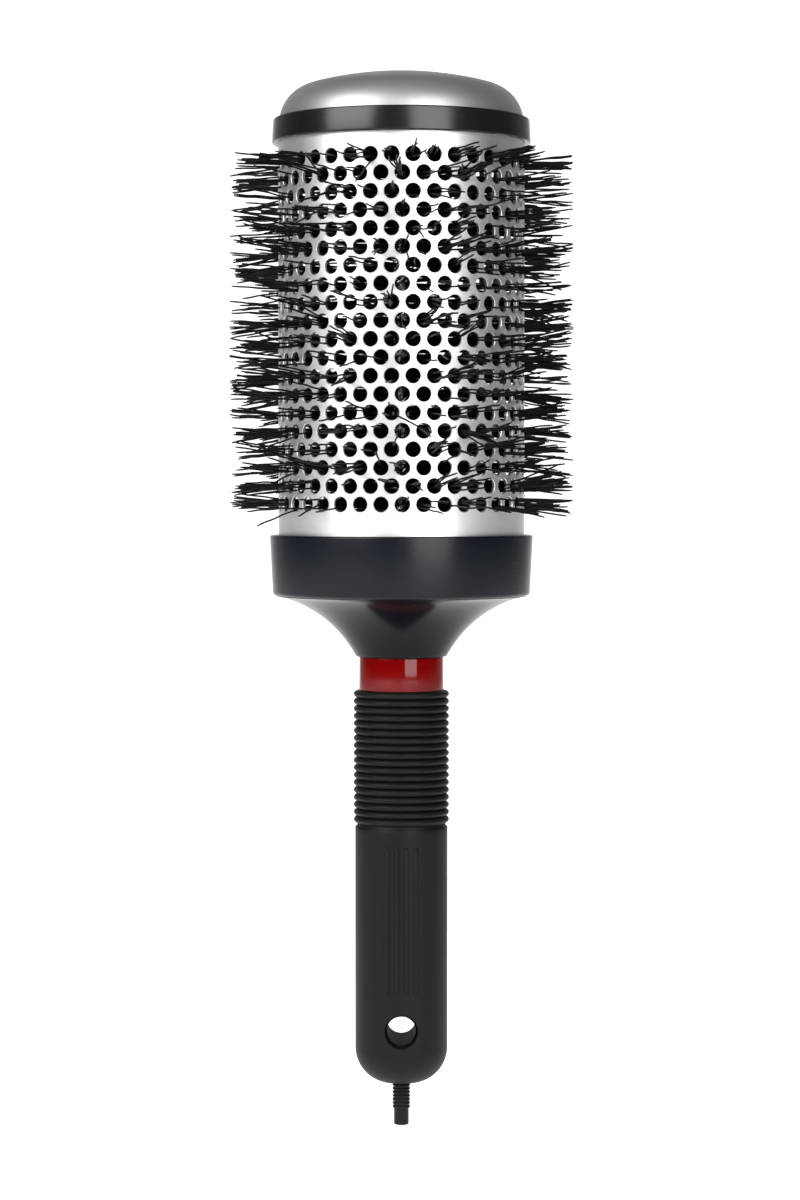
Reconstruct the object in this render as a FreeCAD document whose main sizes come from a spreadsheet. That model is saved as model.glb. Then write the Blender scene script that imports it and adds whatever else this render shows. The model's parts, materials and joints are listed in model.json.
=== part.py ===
import FreeCAD, Part
import math
import os
import Sketcher

# Round barrel brush. The origin is the centre of the hang hole near the handle's end, the handle
# and the barrel stand along +Z, and the hang hole runs along Y. All sizes are in millimetres.

SIZES = [
    # handle
    ("end_drop", 14.85, "hang hole centre down to the end of the handle"),
    ("grip_length", 102.15, "rubber sleeve, end to end"),
    ("end_flat", 0.12, "flat ring of the sleeve's end around the pick"),
    ("end_wall", 2.0, "rubber below the handle core"),
    ("core_radius", 9.4, "plastic core inside the rubber sleeve"),
    ("core_flat", 0.7, "flat ring of the core's lower end around the pick"),
    ("core_drop", 2.7, "top of the core below the rim of the neck"),
    ("sleeve_wall", 2.55, "rubber around the core, where it is smooth"),
    ("hang_radius", 3.7, "hang hole through the core"),
    ("hang_rim_step", 0.5, "hang hole in the rubber, wider than in the core all round"),
    ("hang_rim_rounding", 0.6, "soft edge of the hang hole in the rubber"),
    ("rib_count", 18, "ribs around the top of the sleeve"),
    ("rib_pitch", 1.915, "from rib to rib"),
    ("rib_root_wall", 1.9, "rubber around the core, between the ribs"),
    ("rib_bead_radius", 0.8, "round section of one rib"),
    ("rib_bead_rise", 2.15, "core to the centre of a rib's section"),
    ("ring_height", 8.65, "red finger ring"),
    ("ring_wall", 1.5, "wall of the finger ring"),
    # pick
    ("pick_shank_radius", 1.93, "smooth shank and tip of the pick"),
    ("pick_shank_depth", 6.0, "shank inside the core"),
    ("pick_knurl_length", 6.6, "ribbed shoulder of the pick"),
    ("pick_tip_length", 4.2, "smooth tip below the ribbed shoulder"),
    ("pick_tip_rounding", 0.3, "edge of the tip's end"),
    ("pick_root_drop", 0.05, "pick between its rings, thinner than the shank all round"),
    ("pick_ring_count", 7, "rings of the shoulder"),
    ("pick_ring_radius", 0.45, "round section of one ring"),
    ("pick_play", 0.06, "running clearance around the shank"),
    ("body_gap", 0.3, "clearance between pieces that move apart"),
    # neck and collar
    ("neck_height", 15.7, "flared neck, lower edge to rim"),
    ("neck_foot_wall", 2.35, "wall of the flared neck at its lower edge"),
    ("neck_foot_rounding", 0.7, "lower edge of the neck"),
    ("neck_flare_radius", 31.0, "hollow curve of the flare"),
    ("neck_brim_width", 4.1, "brim at the top of the flare"),
    ("neck_brim_height", 1.1, "rise of the brim"),
    ("neck_brim_curve", 21.5, "curve of the brim"),
    ("neck_rim_inset", 0.9, "edge of the brim in from the collar's lower corner"),
    ("neck_wall", 2.0, "walls of the neck"),
    ("neck_shadow", 0.15, "rim of the neck down from the collar"),
    ("neck_spigot_inset", 6.75, "raised ring of the neck, in from the outside of the barrel"),
    ("collar_height", 15.7, "collar band"),
    ("collar_wall", 2.25, "collar around the barrel, at its top"),
    ("collar_taper", 0.8, "collar band is this much smaller at its foot"),
    ("collar_floor", 2.2, "floor of the collar under the barrel"),
    ("collar_rounding", 1.0, "lower outer edge of the collar"),
    # barrel
    ("barrel_radius", 31.75, "outside of the barrel"),
    ("barrel_wall", 0.8, "barrel sheet"),
    ("barrel_exposed", 100.5, "barrel between the collar and the cap"),
    ("barrel_tuck", 2.0, "barrel inside the cap's skirt"),
    ("vent_radius", 1.93, "vent holes that the bristles pass through"),
    ("vent_count", 37, "vent holes in a row"),
    ("vent_rows", 20, "rows of vent holes"),
    ("vent_first_rise", 8.0, "lowest row above the collar's edge"),
    ("vent_last_drop", 5.67, "highest row below the cap's edge"),
    ("vent_turn", 0.45, "turn of the lowest row, in degrees"),
    # bristles and stem
    ("bristle_length", 13.0, "bristles outside the barrel"),
    ("bristle_tip_radius", 0.9, "tuft at its tip"),
    ("bristle_root_radius", 0.15, "tuft at the stem"),
    ("bristle_root_gap", 1.175, "root of a tuft, out from the stem"),
    ("wire_radius", 1.05, "one wire of the twisted stem"),
    ("wire_pitch", 9.0, "one turn of the twist"),
    ("wire_gap", 0.05, "between the two wires"),
    ("stem_depth", 26.0, "stem inside the handle core"),
    # cap
    ("cap_height", 6.2, "dark skirt of the cap"),
    ("cap_skirt_wall", 1.6, "skirt around the barrel, at its lower edge"),
    ("cap_taper", 0.3, "skirt is this much smaller at its top"),
    ("cap_floor", 2.3, "plate of the cap under the dome"),
    ("cap_wall", 2.0, "spigot of the cap inside the barrel"),
    ("cap_spigot", 3.0, "spigot below the edge of the skirt"),
    ("cap_hub_wall", 2.8, "hub around the end of the stem"),
    ("cap_edge_rounding", 0.5, "edges of the skirt"),
    ("dome_inset", 1.85, "edge of the silver dome, in from the outside of the skirt"),
    ("dome_height", 12.0, "silver dome above the skirt"),
    ("dome_seat", 0.9, "dome down inside the skirt"),
    ("dome_roundness", 0.775, "rounded shoulder of the dome, as a share of its height"),
    ("dome_wall", 1.5, "shell of the dome"),
    ("seat_gap", 0.05, "clearance around each seated piece"),
]


class Size:
    """A length with the expression that works it out from the sheet, so that it follows the sheet."""

    def __init__(self, value, text):
        self.value = value
        self.text = text

    def joined(self, other, sign, value):
        text = other.text if isinstance(other, Size) else repr(float(other))
        return Size(value, f"({self.text} {sign} {text})")

    def __add__(self, other):
        return self.joined(other, "+", self.value + number(other))

    def __sub__(self, other):
        return self.joined(other, "-", self.value - number(other))

    def __mul__(self, other):
        return self.joined(other, "*", self.value * number(other))

    def __truediv__(self, other):
        return self.joined(other, "/", self.value / number(other))

    def __neg__(self):
        return Size(-self.value, f"(-1 * {self.text})")

    def root(self):
        return Size(math.sqrt(self.value), f"sqrt({self.text})")


def number(size):
    return size.value if isinstance(size, Size) else float(size)


doc = FreeCAD.newDocument("RoundBarrelBrush")
sheet = doc.addObject("Spreadsheet::Sheet", "Sizes")
for line, (alias, amount, meaning) in enumerate(SIZES, start=1):
    sheet.set(f"A{line}", meaning)
    sheet.set(f"B{line}", str(amount))
    sheet.setAlias(f"B{line}", alias)
doc.recompute()
S = {alias: Size(float(sheet.get(alias)), f"Sizes.{alias}") for alias, _, _ in SIZES}
ZERO = S["end_drop"] * 0.0

# levels along the axis, from the handle's end up
handle_end = -S["end_drop"]
grip_top = handle_end + S["grip_length"]
ring_top = grip_top + S["ring_height"]
neck_rim = ring_top + S["neck_height"]
collar_foot = neck_rim + S["neck_shadow"]
collar_top = collar_foot + S["collar_height"]
cap_foot = collar_top + S["barrel_exposed"]
cap_top = cap_foot + S["cap_height"]
core_foot = handle_end + S["end_wall"]
core_top = neck_rim - S["core_drop"]
barrel_foot = collar_foot + S["collar_floor"] + S["seat_gap"]
barrel_top = cap_foot + S["barrel_tuck"]
dome_seat = cap_top - S["dome_seat"]
cap_plate = dome_seat - S["cap_floor"] - S["seat_gap"]
stem_foot = core_top - S["stem_depth"]
stem_top = cap_plate - S["seat_gap"]
shank_top = handle_end + S["pick_shank_depth"]
stem_radius = S["wire_radius"] * 2.0 + S["wire_gap"] / 2.0
stem_bore = stem_radius + S["seat_gap"]
lowest_vents = collar_top + S["vent_first_rise"]
vent_rise = S["barrel_exposed"] - S["vent_first_rise"] - S["vent_last_drop"]
vent_row_pitch = vent_rise / (S["vent_rows"] - 1.0)

# widths that follow the handle's core and the pick
pick_root = S["pick_shank_radius"] - S["pick_root_drop"]
pick_socket = S["pick_shank_radius"] + S["pick_play"]
pick_mouth = pick_root + S["pick_ring_radius"] + S["body_gap"]
core_rounding = S["core_radius"] - pick_socket - S["core_flat"]
core_seat = S["core_radius"] + S["seat_gap"]
grip_radius = S["core_radius"] + S["sleeve_wall"]
end_rounding = grip_radius - pick_mouth - S["end_flat"]
rib_root = S["core_radius"] + S["rib_root_wall"]
rib_bead_reach = S["core_radius"] + S["rib_bead_rise"]
hang_rim_radius = S["hang_radius"] + S["hang_rim_step"]
ring_radius = core_seat + S["ring_wall"]
neck_foot_radius = core_seat + S["neck_foot_wall"]

# widths that follow the barrel
barrel_bore = S["barrel_radius"] - S["barrel_wall"]
barrel_seat = S["barrel_radius"] + S["seat_gap"]
collar_radius = S["barrel_radius"] + S["collar_wall"]
collar_foot_radius = collar_radius - S["collar_taper"]
neck_rim_radius = collar_foot_radius - S["neck_rim_inset"]
neck_brim_radius = neck_rim_radius - S["neck_brim_width"]
neck_spigot_radius = S["barrel_radius"] - S["neck_spigot_inset"]
bristle_reach = S["barrel_radius"] + S["bristle_length"]
bristle_root_reach = stem_radius + S["bristle_root_gap"]
cap_radius = S["barrel_radius"] + S["cap_skirt_wall"]
cap_hub_radius = stem_bore + S["cap_hub_wall"]
dome_radius = cap_radius - S["dome_inset"]


def bind(item, prop, size):
    setattr(item, prop, size.value)
    item.setExpression(prop, size.text)


def new_body(label):
    body = doc.addObject("PartDesign::Body", label)
    body.Label = label
    return body


def origin_feature(body, role):
    return [item for item in body.Origin.OriginFeatures if item.Role == role][0]


def new_sketch(body, name, role):
    sketch = body.newObject("Sketcher::SketchObject", name)
    sketch.AttachmentSupport = (origin_feature(body, role), [""])
    sketch.MapMode = "FlatFace"
    return sketch


def pin_point(sketch, geometry, end, place, name):
    """Hold one point of the sketch at a place that follows the sheet."""
    for kind, size in zip(("DistanceX", "DistanceY"), place):
        item = Sketcher.Constraint(kind, -1, 1, geometry, end, size.value)
        index = sketch.addConstraint(item)
        sketch.renameConstraint(index, f"{name}_{kind}")
        sketch.setExpression(f"Constraints.{name}_{kind}", size.text)


def arc_through(start, end, radius, side):
    """A short arc of a radius from start to end, drawn anticlockwise; side is +1 where it bulges
    to the left of the way from start to end, and -1 to the right."""
    first = FreeCAD.Vector(start[0].value, start[1].value, 0)
    last = FreeCAD.Vector(end[0].value, end[1].value, 0)
    chord = last - first
    across = FreeCAD.Vector(-chord.y, chord.x, 0).normalize() * side
    sagitta = radius.value - math.sqrt(radius.value**2 - (chord.Length / 2) ** 2)
    middle = (first + last) * 0.5 + across * sagitta
    return Part.Arc(last, middle, first) if side > 0 else Part.Arc(first, middle, last)


def outline(sketch, corners):
    """A closed outline. Each corner is (x, y), or (x, y, radius, side) where an arc leaves it."""
    count = len(corners)
    ends = []
    for index, corner in enumerate(corners):
        following = corners[(index + 1) % count]
        if len(corner) > 2:
            sketch.addGeometry(arc_through(corner, following, corner[2], corner[3]))
            ends.append((2, 1) if corner[3] > 0 else (1, 2))
        else:
            first = FreeCAD.Vector(corner[0].value, corner[1].value, 0)
            last = FreeCAD.Vector(following[0].value, following[1].value, 0)
            sketch.addGeometry(Part.LineSegment(first, last))
            ends.append((1, 2))
    for index in range(count):
        following = (index + 1) % count
        sketch.addConstraint(
            Sketcher.Constraint("Coincident", index, ends[index][1], following, ends[following][0])
        )
    for index, corner in enumerate(corners):
        pin_point(sketch, index, ends[index][0], corner[:2], f"corner{index}")
        if len(corner) > 2:
            place = sketch.addConstraint(Sketcher.Constraint("Radius", index, corner[2].value))
            sketch.renameConstraint(place, f"arc{index}")
            sketch.setExpression(f"Constraints.arc{index}", corner[2].text)


def circle(sketch, place, radius, name):
    centre = FreeCAD.Vector(place[0].value, place[1].value, 0)
    index = sketch.addGeometry(Part.Circle(centre, FreeCAD.Vector(0, 0, 1), radius.value))
    pin_point(sketch, index, 3, place, name)
    item = sketch.addConstraint(Sketcher.Constraint("Radius", index, radius.value))
    sketch.renameConstraint(item, f"{name}_radius")
    sketch.setExpression(f"Constraints.{name}_radius", radius.text)


def turned(body, kind, name, draw):
    """Turn a half section about the axis, as material (Revolution) or as a cut (Groove)."""
    sketch = new_sketch(body, f"{name}_section", "XZ_Plane")
    draw(sketch)
    feature = body.newObject(f"PartDesign::{kind}", name)
    feature.Profile = sketch
    feature.ReferenceAxis = (sketch, ["V_Axis"])
    feature.Angle = 360
    return feature


def turned_body(label, corners):
    body = new_body(label)
    turned(body, "Revolution", f"{label}_turned", lambda sketch: outline(sketch, corners))
    return body


def cross_hole(body, name, radius):
    """The hang hole: a round hole along Y, through both sides."""
    before = solid_volume(body)
    sketch = new_sketch(body, f"{name}_section", "XZ_Plane")
    circle(sketch, (ZERO, ZERO), radius, "hole")
    hole = body.newObject("PartDesign::Pocket", name)
    hole.Profile = sketch
    hole.Type = "ThroughAll"
    hole.Midplane = True
    if not solid_volume(body) < before:
        raise RuntimeError(f"{name} cuts nothing from {body.Label}")
    return hole


def solid_volume(body):
    doc.recompute()
    return body.Shape.Volume


def repeat_up(body, feature, name, count, length):
    """Repeat a feature along the axis; length runs from the first to the last."""
    pattern = body.newObject("PartDesign::LinearPattern", name)
    pattern.Originals = [feature]
    pattern.Direction = (origin_feature(body, "Z_Axis"), [""])
    bind(pattern, "Length", length)
    pattern.Occurrences = round(count.value)
    pattern.setExpression("Occurrences", count.text)
    body.Tip = pattern
    return pattern


def ring_edges(feature, radius, height):
    """Names of the round edges of a feature with this radius about the axis, at this height."""
    names = []
    for index, edge in enumerate(feature.Shape.Edges, start=1):
        if not isinstance(edge.Curve, Part.Circle):
            continue
        centre = edge.Curve.Center
        near = abs(centre.z - height.value) < 1e-4 and math.hypot(centre.x, centre.y) < 1e-4
        if near and abs(edge.Curve.Radius - radius.value) < 1e-4:
            names.append(f"Edge{index}")
    if not names:
        raise RuntimeError(f"{feature.Name} has no round edge at {height.value}")
    return names


def soften(body, name, rounding, rings):
    """Round the circular edges given as (radius, height)."""
    doc.recompute()
    base = body.Tip
    picked = [edge for radius, height in rings for edge in ring_edges(base, radius, height)]
    feature = body.newObject("PartDesign::Fillet", name)
    feature.Base = (base, picked)
    bind(feature, "Radius", rounding)
    return feature


# ---- handle ----------------------------------------------------------------------------------


def make_handle_core():
    socket_top = shank_top + S["body_gap"]
    body = turned_body(
        "handle_core",
        [
            (pick_socket, core_foot),
            (S["core_radius"] - core_rounding, core_foot, core_rounding, -1),
            (S["core_radius"], core_foot + core_rounding),
            (S["core_radius"], core_top),
            (stem_bore, core_top),
            (stem_bore, stem_foot - S["seat_gap"]),
            (ZERO, stem_foot - S["seat_gap"]),
            (ZERO, socket_top),
            (pick_socket, socket_top),
        ],
    )
    cross_hole(body, "core_hang_hole", S["hang_radius"])
    return body


def make_grip():
    """Rubber sleeve over the core, with a rounded end, and ribs below the finger ring."""
    ribs_foot = grip_top - S["rib_pitch"] * S["rib_count"]
    inner_foot = core_foot - S["seat_gap"]
    groove = S["rib_pitch"] * 0.4
    body = turned_body(
        "grip",
        [
            (pick_mouth, handle_end),
            (grip_radius - end_rounding, handle_end, end_rounding, -1),
            (grip_radius, handle_end + end_rounding),
            (grip_radius, ribs_foot - groove),
            (rib_root, ribs_foot - groove / 2.0),
            (rib_root, grip_top),
            (core_seat, grip_top),
            (core_seat, inner_foot + core_rounding, core_rounding, 1),
            (core_seat - core_rounding, inner_foot),
            (pick_mouth, inner_foot),
        ],
    )
    half_pitch = S["rib_pitch"] / 2.0
    rib = turned(
        body,
        "Revolution",
        "rib",
        lambda sketch: circle(
            sketch, (rib_bead_reach, ribs_foot + half_pitch), S["rib_bead_radius"], "bead"
        ),
    )
    repeat_up(body, rib, "ribs", S["rib_count"], S["rib_pitch"] * (S["rib_count"] - 1.0))
    hole = cross_hole(body, "grip_hang_hole", hang_rim_radius)
    body.Tip = hole
    doc.recompute()
    rims = [
        f"Edge{index}"
        for index, edge in enumerate(hole.Shape.Edges, start=1)
        if is_hang_rim(edge)
    ]
    rounded = body.newObject("PartDesign::Fillet", "hang_rim")
    rounded.Base = (hole, rims)
    bind(rounded, "Radius", S["hang_rim_rounding"])
    return body


def is_hang_rim(edge):
    """Is this edge where the hang hole leaves the outside of the sleeve?"""
    box = edge.BoundBox
    inside = max(abs(box.XMin), abs(box.XMax), abs(box.ZMin), abs(box.ZMax)) < (
        hang_rim_radius.value * 1.05
    )
    return inside and max(abs(box.YMin), abs(box.YMax)) > grip_radius.value - 0.01


def make_red_ring():
    foot = grip_top + S["seat_gap"]
    top = ring_top - S["seat_gap"]
    corners = [(core_seat, foot), (ring_radius, foot), (ring_radius, top), (core_seat, top)]
    return turned_body("red_ring", corners)


def make_pick():
    """A smooth shank in the handle's end, a ribbed shoulder to pull it by, and a smooth tip."""
    tip = handle_end - S["body_gap"] - S["pick_knurl_length"] - S["pick_tip_length"]
    knurl_foot = tip + S["pick_tip_length"]
    knurl_top = handle_end - S["body_gap"]
    tip_rounding = S["pick_tip_rounding"]
    body = turned_body(
        "pick",
        [
            (ZERO, tip),
            (S["pick_shank_radius"] - tip_rounding, tip, tip_rounding, -1),
            (S["pick_shank_radius"], tip + tip_rounding),
            (S["pick_shank_radius"], knurl_foot),
            (pick_root, knurl_foot),
            (pick_root, knurl_top),
            (S["pick_shank_radius"], knurl_top),
            (S["pick_shank_radius"], shank_top),
            (ZERO, shank_top),
        ],
    )
    spacing = S["pick_knurl_length"] / S["pick_ring_count"]
    ring = turned(
        body,
        "Revolution",
        "pick_ring",
        lambda sketch: circle(
            sketch,
            (pick_root, knurl_foot + spacing / 2.0),
            S["pick_ring_radius"],
            "bead",
        ),
    )
    repeat_up(body, ring, "pick_rings", S["pick_ring_count"], spacing * (S["pick_ring_count"] - 1.0))
    return body


# ---- neck, collar and barrel ------------------------------------------------------------------


def make_neck_cone():
    """Flared neck, open at the top, with a tube for the core and a raised ring in the collar."""
    tube = core_seat + S["neck_wall"]
    shelf = neck_rim + S["neck_shadow"] - S["seat_gap"]
    spigot_top = collar_foot + S["collar_floor"]
    spigot_bore = neck_spigot_radius - S["neck_wall"]
    pocket_foot = ring_top + S["neck_height"] * 0.4
    body = turned_body(
        "neck_cone",
        [
            (core_seat, ring_top),
            (neck_foot_radius, ring_top, S["neck_flare_radius"], 1),
            (neck_brim_radius, neck_rim - S["neck_brim_height"], S["neck_brim_curve"], 1),
            (neck_rim_radius, neck_rim),
            (neck_rim_radius, shelf),
            (neck_spigot_radius, shelf),
            (neck_spigot_radius, spigot_top),
            (spigot_bore, spigot_top),
            (spigot_bore, neck_rim - S["neck_wall"]),
            (tube + S["neck_wall"] * 0.7, pocket_foot),
            (tube, pocket_foot),
            (tube, neck_rim),
            (core_seat, neck_rim),
        ],
    )
    soften(body, "neck_foot_edge", S["neck_foot_rounding"], [(neck_foot_radius, ring_top)])
    return body


def make_collar():
    opening = neck_spigot_radius + S["seat_gap"]
    floor = collar_foot + S["collar_floor"]
    body = turned_body(
        "collar",
        [
            (opening, collar_foot),
            (collar_foot_radius, collar_foot),
            (collar_radius, collar_top),
            (barrel_seat, collar_top),
            (barrel_seat, floor),
            (opening, floor),
        ],
    )
    soften(body, "collar_foot_edge", S["collar_rounding"], [(collar_foot_radius, collar_foot)])
    soften(body, "collar_top_edge", S["cap_edge_rounding"], [(collar_radius, collar_top)])
    return body


def vent_angles(row):
    """Angles of the vent holes of one row, in degrees; each row is half a step on from the last."""
    step = 360.0 / round(S["vent_count"].value)
    start = S["vent_turn"].value + (step / 2 if row % 2 else 0.0)
    return [start + step * index for index in range(round(S["vent_count"].value))]


def outward(angle):
    """Unit vector from the axis; angle 0 faces -Y and turns towards +X."""
    turn = math.radians(angle)
    return FreeCAD.Vector(math.sin(turn), -math.cos(turn), 0)


def row_height(row):
    return (lowest_vents + vent_row_pitch * float(row)).value


def radial_rods(near, far, near_radius, far_radius, row):
    """Round rods or cones that stand out from the axis, one for each vent hole of a row."""
    level = FreeCAD.Vector(0, 0, row_height(row))
    rods = []
    for angle in vent_angles(row):
        way = outward(angle)
        place = level + way * near
        if near_radius == far_radius:
            rods.append(Part.makeCylinder(near_radius, far - near, place, way))
        else:
            rods.append(Part.makeCone(near_radius, far_radius, far - near, place, way))
    return Part.makeCompound(rods)


def plain_solid(name, shape):
    item = doc.addObject("Part::Feature", name)
    item.Shape = shape
    item.Placement = FreeCAD.Placement()
    return item


def make_barrel():
    """Seamless metal tube with staggered rows of vent holes."""
    outside = doc.addObject("Part::Cylinder", "barrel_outside")
    bore = doc.addObject("Part::Cylinder", "barrel_inside")
    bind(outside, "Radius", S["barrel_radius"])
    bind(bore, "Radius", barrel_bore)
    for item in (outside, bore):
        bind(item, "Height", barrel_top - barrel_foot)
        item.setExpression("Placement.Base.z", barrel_foot.text)
    tube = doc.addObject("Part::Cut", "barrel_tube")
    tube.Base = outside
    tube.Tool = bore
    margin = S["barrel_wall"].value
    near = barrel_bore.value - margin
    far = S["barrel_radius"].value + margin
    size = S["vent_radius"].value
    rows = range(round(S["vent_rows"].value))
    drills = [radial_rods(near, far, size, size, row) for row in rows]
    barrel = doc.addObject("Part::Cut", "barrel")
    barrel.Base = tube
    barrel.Tool = plain_solid("vent_drills", Part.makeCompound(drills))
    barrel.Label = "barrel"
    return barrel


# ---- bristles and stem ------------------------------------------------------------------------


def make_bristle_row(row):
    """The tufts that come through one row of vent holes, each a slim cone from the stem out."""
    near = bristle_root_reach.value
    far = bristle_reach.value
    root = S["bristle_root_radius"].value
    tip = S["bristle_tip_radius"].value
    label = f"bristle_row_{row + 1:02d}"
    item = plain_solid(label, radial_rods(near, far, root, tip, row))
    item.Label = label
    return item


def make_stem_wire(label, turn):
    """One of the two wires that are twisted together and grip the bristles."""
    reach = S["wire_radius"] + S["wire_gap"] / 2.0
    path = doc.addObject("Part::Helix", f"{label}_path")
    bind(path, "Pitch", S["wire_pitch"])
    bind(path, "Height", stem_top - stem_foot)
    bind(path, "Radius", reach)
    section = doc.addObject("Part::Circle", f"{label}_section")
    bind(section, "Radius", S["wire_radius"])
    place = -reach if turn else reach
    section.setExpression("Placement.Base.x", place.text)
    path.Placement.Rotation = FreeCAD.Rotation(FreeCAD.Vector(0, 0, 1), turn)
    for item in (path, section):
        item.setExpression("Placement.Base.z", stem_foot.text)
    wire = doc.addObject("Part::Sweep", label)
    wire.Sections = [section]
    wire.Spine = (path, [])
    wire.Solid = True
    wire.Frenet = True
    wire.Label = label
    return wire


# ---- cap --------------------------------------------------------------------------------------


def make_cap_band():
    """Dark cap: a skirt over the barrel's end, a spigot inside it, a plate, and a hub for the stem."""
    gap = S["seat_gap"]
    top_radius = cap_radius - S["cap_taper"]
    recess = dome_radius + gap
    spigot_foot = cap_foot - S["cap_spigot"]
    spigot = barrel_bore - gap
    slot_top = barrel_top + gap
    body = turned_body(
        "cap_band",
        [
            (cap_radius, cap_foot),
            (top_radius, cap_top),
            (recess, cap_top),
            (recess, dome_seat - gap),
            (ZERO, dome_seat - gap),
            (ZERO, cap_plate),
            (stem_bore, cap_plate),
            (stem_bore, spigot_foot),
            (cap_hub_radius, spigot_foot),
            (cap_hub_radius, cap_plate),
            (spigot - S["cap_wall"], cap_plate),
            (spigot - S["cap_wall"], spigot_foot),
            (spigot, spigot_foot),
            (spigot, slot_top),
            (barrel_seat, slot_top),
            (barrel_seat, cap_foot),
        ],
    )
    rims = [(cap_radius, cap_foot), (top_radius, cap_top)]
    soften(body, "cap_edges", S["cap_edge_rounding"], rims)
    return body


def make_end_cap():
    """Silver dome: a shallow crown with a tighter rounded shoulder, as a thin shell."""
    rise = S["dome_height"] + S["dome_seat"]
    shoulder = rise * S["dome_roundness"]
    wall = S["dome_wall"]
    neck = dome_radius - shoulder
    # the crown's arc meets the shoulder's arc without a corner, which settles its radius
    crown = (rise * rise - shoulder * shoulder + neck * neck) / ((rise - shoulder) * 2.0)
    share = neck / (crown - shoulder)
    lift = (crown - rise) / (crown - shoulder)
    apex = dome_seat + rise
    centre = apex - crown
    body = turned_body(
        "end_cap",
        [
            (dome_radius - wall, dome_seat),
            (dome_radius, dome_seat, shoulder, -1),
            (share * crown, centre + lift * crown, crown, -1),
            (ZERO, apex),
            (ZERO, apex - wall, crown - wall, 1),
            (share * (crown - wall), centre + lift * (crown - wall), shoulder - wall, 1),
        ],
    )
    return body


parts = [
    make_pick(),
    make_handle_core(),
    make_grip(),
    make_red_ring(),
    make_neck_cone(),
    make_collar(),
    make_barrel(),
    make_stem_wire("stem_wire_a", 0),
    make_stem_wire("stem_wire_b", 180),
    make_cap_band(),
    make_end_cap(),
]
parts += [make_bristle_row(row) for row in range(round(S["vent_rows"].value))]
doc.recompute()

for item in doc.Objects:
    if "Invalid" in item.State or "Error" in item.State:
        raise RuntimeError(f"{item.Name} is {item.State}")
for item in parts:
    if item.Shape.isNull() or not item.Shape.isValid():
        raise RuntimeError(f"{item.Label} has no valid shape")

os.makedirs("parts", exist_ok=True)
for item in parts:
    item.Shape.exportStep(f"parts/{item.Label}.step")
    print(item.Label, round(item.Shape.Volume, 1), "mm3,", len(item.Shape.Solids), "solids")
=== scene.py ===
import json
import math
import random

import bmesh
import bpy
from bpy.props import FloatProperty, FloatVectorProperty, IntProperty, PointerProperty
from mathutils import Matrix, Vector

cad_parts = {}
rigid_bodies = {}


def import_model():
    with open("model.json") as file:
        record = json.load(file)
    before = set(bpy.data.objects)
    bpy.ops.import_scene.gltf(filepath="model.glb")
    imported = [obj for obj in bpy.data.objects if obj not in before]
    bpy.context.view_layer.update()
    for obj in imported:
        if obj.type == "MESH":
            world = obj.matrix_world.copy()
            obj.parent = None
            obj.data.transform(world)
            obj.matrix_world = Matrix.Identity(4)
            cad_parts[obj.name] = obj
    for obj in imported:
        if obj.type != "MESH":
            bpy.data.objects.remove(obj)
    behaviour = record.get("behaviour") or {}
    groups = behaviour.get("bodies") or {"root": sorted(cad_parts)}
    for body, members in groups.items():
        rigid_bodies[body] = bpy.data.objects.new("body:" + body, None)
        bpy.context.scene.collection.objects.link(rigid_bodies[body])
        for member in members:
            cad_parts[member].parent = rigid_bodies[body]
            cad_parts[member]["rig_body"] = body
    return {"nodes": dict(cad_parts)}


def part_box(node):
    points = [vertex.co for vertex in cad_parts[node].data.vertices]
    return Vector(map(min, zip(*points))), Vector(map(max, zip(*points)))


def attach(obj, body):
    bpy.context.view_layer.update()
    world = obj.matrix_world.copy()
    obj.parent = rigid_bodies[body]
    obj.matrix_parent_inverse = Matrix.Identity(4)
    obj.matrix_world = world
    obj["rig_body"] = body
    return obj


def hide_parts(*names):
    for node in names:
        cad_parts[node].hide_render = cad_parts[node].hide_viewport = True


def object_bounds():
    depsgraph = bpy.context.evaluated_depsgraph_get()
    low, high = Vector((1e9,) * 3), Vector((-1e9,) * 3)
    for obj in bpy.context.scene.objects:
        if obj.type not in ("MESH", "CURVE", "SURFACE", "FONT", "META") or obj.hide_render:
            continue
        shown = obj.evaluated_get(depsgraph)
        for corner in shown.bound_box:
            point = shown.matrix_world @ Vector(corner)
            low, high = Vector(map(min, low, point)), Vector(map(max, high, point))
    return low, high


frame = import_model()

bl_info = {
    "name": "Round barrel brush",
    "version": (1, 0, 0),
    "blender": (4, 5, 0),
    "location": "View3D > Sidebar > Brush",
    "description": "Makes the pieces and finishes of a round barrel hair brush around its frame",
    "category": "Object",
}

CAD_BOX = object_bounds()
MM = 0.001
TURN = 2 * math.pi
ROWS = sorted(name for name in frame["nodes"] if name.startswith("bristle_row_"))
LOW = {name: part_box(name)[0] for name in frame["nodes"]}
HIGH = {name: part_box(name)[1] for name in frame["nodes"]}
ROW_HEIGHTS = [(LOW[name].z + HIGH[name].z) / 2 for name in ROWS]
ROW_PITCH = (ROW_HEIGHTS[-1] - ROW_HEIGHTS[0]) / (len(ROWS) - 1)
ROUND = 192  # steps around a turned piece
SEAT_GAP = 0.05 * MM
SLEEVE_RADIUS = 11.95 * MM  # smooth part of the rubber sleeve
BARREL_WALL = 0.8 * MM
SPIGOT_WALL = 2.0 * MM


# ---- sizes and colours --------------------------------------------------------------------------


def length(name, default, description):
    """A size property in metres, from a default in millimetres."""
    return FloatProperty(
        name=name, description=description, default=default * MM, unit="LENGTH", precision=5
    )


def colour(name, default, description):
    return FloatVectorProperty(
        name=name, description=description, default=default, subtype="COLOR", size=3, min=0, max=1
    )


def share(name, default, description):
    return FloatProperty(
        name=name, description=description, default=default, min=0, max=1, subtype="FACTOR"
    )


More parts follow.
